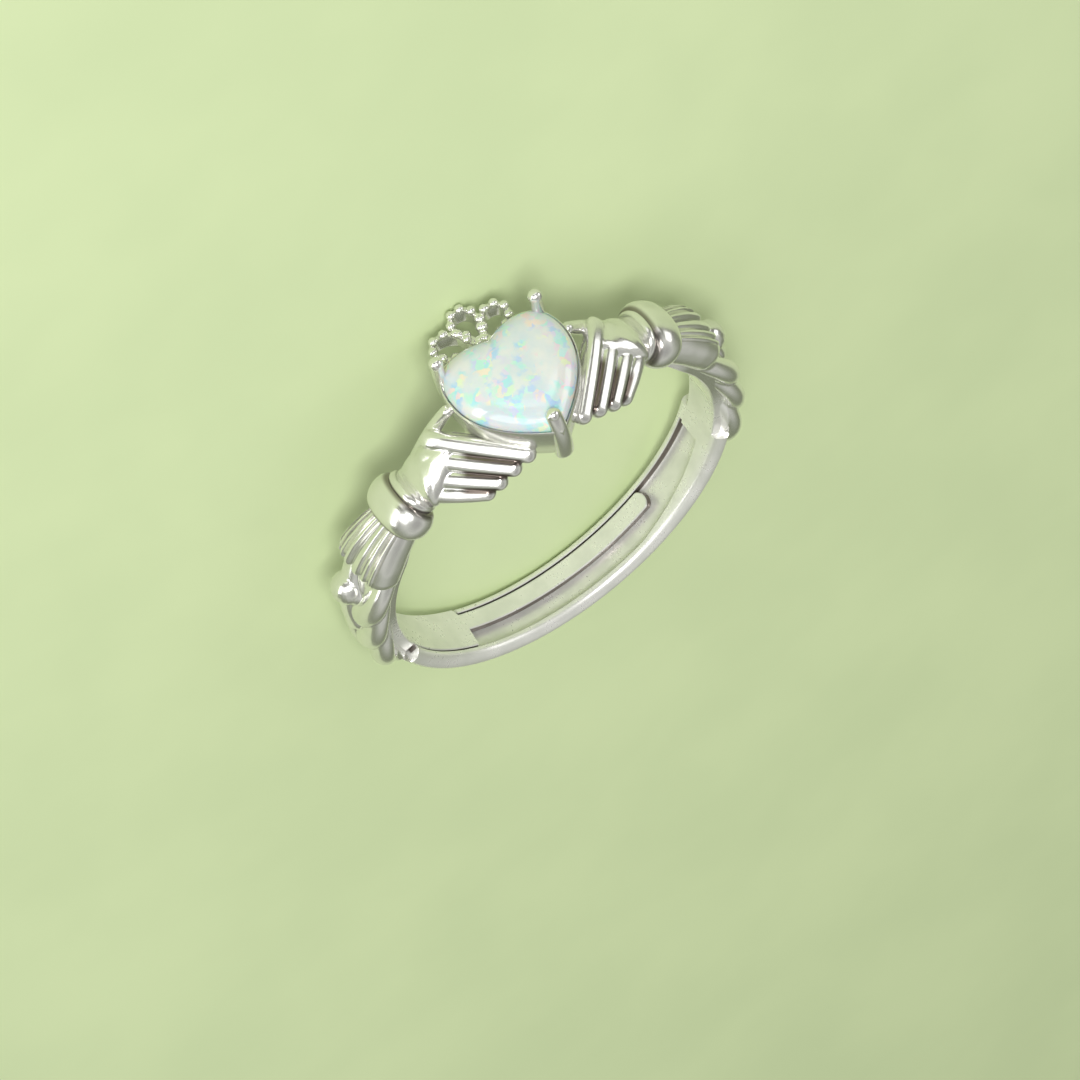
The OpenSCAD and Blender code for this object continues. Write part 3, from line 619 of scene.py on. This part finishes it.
def place_camera():
    """Camera at CAMERA_D along its back direction, with its three axes turned by the ring's lean."""
    sin_a, cos_a = math.sin(CAMERA_AZ), math.cos(CAMERA_AZ)
    sin_e, cos_e = math.sin(CAMERA_EL), math.cos(CAMERA_EL)
    back = np.array([sin_a * cos_e, -cos_a * cos_e, sin_e])
    right0 = np.array([cos_a, sin_a, 0.0])
    up0 = np.cross(back, right0)
    right = right0 * math.cos(CAMERA_ROLL) + up0 * math.sin(CAMERA_ROLL)
    up = up0 * math.cos(CAMERA_ROLL) - right0 * math.sin(CAMERA_ROLL)
    data = bpy.data.cameras.new("camera")
    data.sensor_fit, data.sensor_width, data.sensor_height = "HORIZONTAL", SENSOR, SENSOR
    data.lens = PIXELS_PER_MM * CAMERA_D / PHOTO * SENSOR
    data.shift_x, data.shift_y = (PHOTO / 2 - RING_PX) / PHOTO, (RING_PY - PHOTO / 2) / PHOTO
    data.clip_start, data.clip_end = 0.01, 5
    camera = bpy.data.objects.new("camera", data)
    bpy.context.scene.collection.objects.link(camera)
    turned = np.stack([laid_down(v) * 1000 for v in (right, up, back)], axis=1)
    camera.matrix_world = Matrix.Translation(Vector(laid_down(back * CAMERA_D))) @ Matrix(turned.tolist()).to_4x4()
    bpy.context.scene.camera = camera


class Sum:
    """A shader value: arithmetic on it adds Math nodes."""

    def __init__(self, kit, socket):
        self.kit, self.socket = kit, socket

    def _join(self, operation, *values):
        return self.kit.node("ShaderNodeMath", {"operation": operation}, values)

    def __add__(self, other):
        return self._join("ADD", self, other)

    def __sub__(self, other):
        return self._join("SUBTRACT", self, other)

    def __rsub__(self, other):
        return self._join("SUBTRACT", other, self)

    def __mul__(self, other):
        return self._join("MULTIPLY", self, other)

    def __pow__(self, other):
        return self._join("POWER", self, other)

    def smooth(self, low, high):
        """0 under low, 1 over high, and an S curve between."""
        return self.kit.node("ShaderNodeMapRange", {"interpolation_type": "SMOOTHSTEP"},
                             {"Value": self, "From Min": low, "From Max": high})

    __radd__, __rmul__ = __add__, __mul__


class Finish:
    """A node tree with one method that adds any node."""

    def __init__(self, name, world=False):
        self.owner = bpy.data.worlds.new(name) if world else bpy.data.materials.new(name)
        self.owner.use_nodes = True
        self.tree = self.owner.node_tree
        self.tree.nodes.clear()

    def link(self, socket, value):
        if isinstance(value, Sum):
            value = value.socket
        if isinstance(value, bpy.types.NodeSocket):
            self.tree.links.new(value, socket)
        elif isinstance(value, tuple) and socket.type == "RGBA":
            socket.default_value = (*value, 1)
        else:
            socket.default_value = value

    def node(self, kind, settings=None, inputs=(), output=0):
        made = self.tree.nodes.new(kind)
        for key, value in (settings or {}).items():
            if key == "stops":
                ramp = made.color_ramp
                while len(ramp.elements) < len(value):
                    ramp.elements.new(0.5)
                for element, (place, colour) in zip(ramp.elements, value):
                    element.position, element.color = place, (*colour, 1)
            else:
                setattr(made, key, value)
        for key, value in (inputs.items() if isinstance(inputs, dict) else enumerate(inputs)):
            self.link(made.inputs[key], value)
        return Sum(self, made.outputs[output]) if made.outputs else None

    def mix(self, factor, a, b):
        """Colour mix."""
        made = self.tree.nodes.new("ShaderNodeMix")
        made.data_type = "RGBA"
        for i, value in ((0, factor), (6, a), (7, b)):
            self.link(made.inputs[i], value)
        return Sum(self, made.outputs[2])

    def millimetres(self):
        place = self.node("ShaderNodeTexCoord", output="Object")
        return self.node("ShaderNodeVectorMath", {"operation": "SCALE"}, {"Vector": place, "Scale": 1000.0})

    def noise(self, place, scale, detail=2.0, output=0):
        return self.node("ShaderNodeTexNoise", {}, {"Vector": place, "Scale": scale, "Detail": detail}, output)

    def surface(self, constants, **linked):
        shader = self.node("ShaderNodeBsdfPrincipled", {}, {**constants, **linked})
        self.node("ShaderNodeOutputMaterial", {}, {"Surface": shader})
        return self.owner


# Ranges in mm over which the silver's painted shade sets in: a gap's sides, its start and fade along the fingers and
# its level out along HAND_FACE; a crease's sides in degrees, its distance from the axis and how dark it is; a groove
# wall's two distances, its two sides and its end towards the head; and, for the band's duller inside, the distance and
# the height up to which it goes
GAP_SIDES, GAP_START, GAP_FADE, GAP_LEVEL = (0.08, 0.22), (-2.3, -1.7), 0.3, (9.8, 10.0)
CREASE_SIDES, CREASE_OUT, CREASE_DARK = (0.1, 1.1), (9.5, 9.8), 0.8
WALL_FROM, WALL_TO = (8.93, 8.98), (9.28, 9.38)
WALL_NEAR, WALL_FAR, WALL_END = (-1.12, -1.06), (1.2, 1.26), (-3.2, -2.6)
INSIDE_TO, INSIDE_END = (9.46, 9.6), (-1.0, 1.5)


def recesses(kit, place):
    """Mask of painted shade, up to 1 in the hollow places (finger gaps, the cuff's two creases, groove walls); and 1 on
    the band's inside.

    Each is a product of S curves. The gaps go by level out along HAND_FACE, length along the fingers and place
    across them; the creases by the angle round the finger and the distance from its axis; the walls by that distance
    and the place across the band; the inside by that distance and the height towards the stone.
    """
    def dot(a, way):
        axis = tuple(laid_down(way) * 1000)
        return kit.node("ShaderNodeVectorMath", {"operation": "DOT_PRODUCT"}, {0: a, 1: axis}, output=1)

    def whole(operation, *values):
        return kit.node("ShaderNodeMath", {"operation": operation}, values)

    x, y, z = (kit.node("ShaderNodeSeparateXYZ", {}, [place], output=i) for i in range(3))
    aside = whole("ABSOLUTE", x)
    one_side = kit.node("ShaderNodeCombineXYZ", {}, [aside * -1.0, y, z])
    depth, along, side, across, out = (
        dot(one_side, way) for way in (HAND_FACE, FINGER_WAY, KNUCKLE_WAY, ACROSS, np.array([0.0, 0.0, 1.0])))
    fingers = 0.0
    for middle, lean, end in FINGER_GAPS:
        line = 1.0 - whole("ABSOLUTE", side - (along * lean + middle)).smooth(*GAP_SIDES)
        stretch = along.smooth(*GAP_START) * (1.0 - along.smooth(end - GAP_FADE, end))
        fingers = line * stretch * depth.smooth(*GAP_LEVEL) + fingers
    reach = (aside * aside + out * out) ** 0.5
    angle = whole("ARCTAN2", aside, out) * (180 / math.pi)
    creases = 0.0
    for place_deg in (RIM_RING_DEG + turn_of(RIM_RING_L * 0.45), CUFF_DEG + turn_of(CUFF_L * 0.46)):
        creases = (1.0 - whole("ABSOLUTE", angle - place_deg).smooth(*CREASE_SIDES)) + creases
    walls = (reach.smooth(*WALL_FROM) * (1.0 - reach.smooth(*WALL_TO)) * across.smooth(*WALL_NEAR)
             * (1.0 - across.smooth(*WALL_FAR)) * (1.0 - out.smooth(*WALL_END)))
    inside = (1.0 - reach.smooth(*INSIDE_TO)) * (1.0 - out.smooth(*INSIDE_END))
    return fingers + creases * reach.smooth(*CREASE_OUT) * CREASE_DARK + walls, inside


# The silver's two random tones, and the dark brown that is painted into its hollows as shade
SILVER_LIGHT, SILVER_DARK, PAINTED_SHADE_BROWN = (0.84, 0.83, 0.80), (0.76, 0.76, 0.72), (0.10, 0.07, 0.055)


def silver():
    """Polished cast silver: small uneven ripples, duller in patches and inside the band, with dark brown shade painted
    into its recesses.
    """
    kit = Finish("polished_silver")
    place = kit.millimetres()
    broad, fine = kit.noise(place, 0.9, 3), kit.noise(place, 6.0, 2)
    colour = kit.mix(broad.smooth(0.35, 0.7), SILVER_LIGHT, SILVER_DARK)
    painted_shade, inside = recesses(kit, place)
    # Painted shade: finger gaps, the cuff's creases and the groove walls are mixed towards dark brown
    colour = kit.mix(painted_shade * 0.93, colour, PAINTED_SHADE_BROWN)
    dull = broad.smooth(0.4, 0.75) * 0.07 + fine * 0.06 + 0.15 + inside * 0.1
    bump = kit.node("ShaderNodeBump", {}, {"Strength": 0.07, "Distance": 0.00004, "Height": broad * 2})
    return kit.surface({}, **{
        "Base Color": colour, "Metallic": 0.86 - inside * 0.36, "Roughness": dull, "Normal": bump})


OPAL_BLUE, OPAL_WHITE = (0.56, 0.63, 0.68), (0.68, 0.68, 0.68)
# Flakes of cyan, mint, yellow, pink, violet, blue and mint, each from a place on the scale of random picks
FLAKES = [
    (0.0, (0.30, 0.68, 0.74)), (0.2, (0.42, 0.76, 0.58)), (0.38, (0.78, 0.78, 0.45)), (0.5, (0.80, 0.56, 0.58)),
    (0.62, (0.60, 0.55, 0.80)), (0.8, (0.30, 0.52, 0.80)), (1.0, (0.46, 0.76, 0.70))]


def opal():
    """Milky opal: small flakes of clear colours in a pale blue-white body, under a glossy coat."""
    kit = Finish("milky_opal")
    place = kit.millimetres()
    bend = kit.noise(place, 1.6, 2, output=1)
    bent = kit.node("ShaderNodeVectorMath", {"operation": "MULTIPLY_ADD"}, {0: place, 1: (1, 1, 1), 2: bend})
    flake = kit.node("ShaderNodeTexVoronoi", {}, {"Vector": bent, "Scale": 2.6}, output="Color")
    pick = kit.node("ShaderNodeSeparateColor", {}, [flake])
    hue = kit.node("ShaderNodeValToRGB", {"stops": FLAKES}, [pick])
    body = kit.mix(kit.noise(place, 0.7, 3).smooth(0.35, 0.65), OPAL_BLUE, OPAL_WHITE)
    show = kit.noise(place, 1.3, 4).smooth(0.45, 0.62)
    colour = kit.mix(show * 0.75, body, hue)
    return kit.surface({"Roughness": 0.12, "Coat Weight": 1.0, "Coat Roughness": 0.03, "IOR": 1.45,
                        "Subsurface Weight": 0.25, "Subsurface Scale": 0.0006}, **{"Base Color": colour})


PAPER_DARK, PAPER_LIGHT = (0.60, 0.70, 0.41), (0.64, 0.74, 0.435)


def pale_floor():
    """Matt pale green paper, a little uneven in tone."""
    kit = Finish("pale_green_paper")
    place = kit.millimetres()
    tone = kit.noise(place, 0.08, 3).smooth(0.3, 0.7)
    colour = kit.mix(tone, PAPER_DARK, PAPER_LIGHT)
    return kit.surface({"Roughness": 0.95, "Specular IOR Level": 0.1}, **{"Base Color": colour})


# The surroundings' colours, from straight down at 0 over the horizon at 0.5 to straight up at 1
IN_FRONT = [
    (0.0, (0.30, 0.34, 0.20)), (0.5, (0.34, 0.36, 0.25)), (0.55, (0.09, 0.08, 0.065)), (0.62, (0.14, 0.135, 0.12)),
    (0.72, (0.55, 0.56, 0.52)), (0.85, (0.98, 0.99, 0.95)), (1.0, (0.45, 0.45, 0.43))]
BEHIND = [
    (0.0, (0.30, 0.34, 0.20)), (0.5, (0.36, 0.42, 0.24)), (0.62, (0.24, 0.28, 0.15)), (0.75, (0.42, 0.46, 0.34)),
    (0.88, (0.85, 0.87, 0.80)), (1.0, (0.45, 0.45, 0.43))]


def studio():
    """Surroundings: a green paper sweep behind the ring; in front a dark gap over the floor, then bright grey."""
    kit = Finish("studio", world=True)
    way = kit.node("ShaderNodeTexCoord", output="Generated")
    depth, height = (kit.node("ShaderNodeSeparateXYZ", {}, [way], output=i) for i in (1, 2))
    level = height * 0.5 + 0.5
    front, back = (kit.node("ShaderNodeValToRGB", {"stops": stops}, [level]) for stops in (IN_FRONT, BEHIND))
    colour = kit.mix(depth.smooth(-0.15, 0.35), front, back)
    light = kit.node("ShaderNodeBackground", {}, {"Color": colour, "Strength": 0.6})
    kit.node("ShaderNodeOutputWorld", {}, {"Surface": light})
    bpy.context.scene.world = kit.owner


def soft_light(name, place, size, watts):
    """Rectangular light that faces the ring's middle."""
    data = bpy.data.lights.new(name, "AREA")
    data.shape, data.size, data.size_y, data.energy = "RECTANGLE", size[0], size[1], watts
    light = bpy.data.objects.new(name, data)
    bpy.context.scene.collection.objects.link(light)
    way = Vector(place)
    light.matrix_world = Matrix.Translation(way) @ way.to_track_quat("Z", "Y").to_matrix().to_4x4()


def lay_floor(z):
    """Flat square 1.6 m wide, in a 2 by 2 grid."""
    x, y = np.meshgrid([-0.8, 0.0, 0.8], [-0.8, 0.0, 0.8])
    mesh = bpy.data.meshes.new("floor")
    points = np.stack([x.ravel(), y.ravel(), np.full(9, z)], axis=-1)
    mesh.from_pydata(points.tolist(), [], [(0, 1, 4, 3), (1, 2, 5, 4), (3, 4, 7, 6), (4, 5, 8, 7)])
    floor = bpy.data.objects.new("floor", mesh)
    bpy.context.scene.collection.objects.link(floor)
    mesh.materials.append(pale_floor())


place_camera()
bpy.context.scene.view_settings.view_transform = "Standard"
studio()
# The floor lies this far under the solids, in metres
FLOOR_GAP = 0.00001
lay_floor(cad_box[0][2] - FLOOR_GAP)
# Each light's place and size in metres, and its power in watts
soft_light("key", (0.08, -0.24, 0.26), (0.13, 0.11), 0.85)
soft_light("left_card", (0.24, -0.19, 0.19), (0.18, 0.18), 0.2)
soft_light("right_card", (-0.30, -0.12, 0.14), (0.16, 0.18), 0.16)
soft_light("low_front", (-0.06, -0.34, 0.04), (0.34, 0.07), 0.1)
soft_light("low_left", (0.33, -0.16, 0.04), (0.30, 0.07), 0.32)

metal, stone = silver(), opal()
# The node that the silver pieces replace; then remesh sizes in mm, evening passes and sharp edges' angle of the
# melted pieces
CAST = "ring_casting"
HAND_VOXEL, PLAIT_VOXEL, PASSES, SOFT_DEG = 0.04, 0.045, 4, 80
finished("heart_setting", head().mesh("heart_setting"), metal, CAST)
finished("crown", crown().mesh("crown"), metal, CAST)
right = hand()
finished("right_hand", melted(right, "right_hand", HAND_VOXEL, PASSES), metal, CAST, SOFT_DEG)
finished("left_hand", melted(right.mirrored(), "left_hand", HAND_VOXEL, PASSES), metal, CAST, SOFT_DEG)
finished("right_cuff", cuff().mesh("right_cuff"), metal, CAST)
finished("left_cuff", cuff().mirrored().mesh("left_cuff"), metal, CAST)
finished("right_sleeve", sleeve().mesh("right_sleeve"), metal, CAST)
finished("left_sleeve", sleeve().mirrored().mesh("left_sleeve"), metal, CAST)
right, left = plait(RIGHT_END, RIGHT_STEP), plait(LEFT_END, LEFT_STEP).mirrored()
finished("right_plait", melted(right, "right_plait", PLAIT_VOXEL, PASSES), metal, CAST, SOFT_DEG)
finished("left_plait", melted(left, "left_plait", PLAIT_VOXEL, PASSES), metal, CAST, SOFT_DEG)
finished("liner", liner().mesh("liner"), metal, CAST)
finished("band", band().mesh("band"), metal, CAST)
finished("tongue", tongue().mesh("tongue"), metal, CAST)
finished("heart_stone_opal", Metal().grid(stone_rings()).mesh("heart_stone_opal"), stone, "heart_stone")
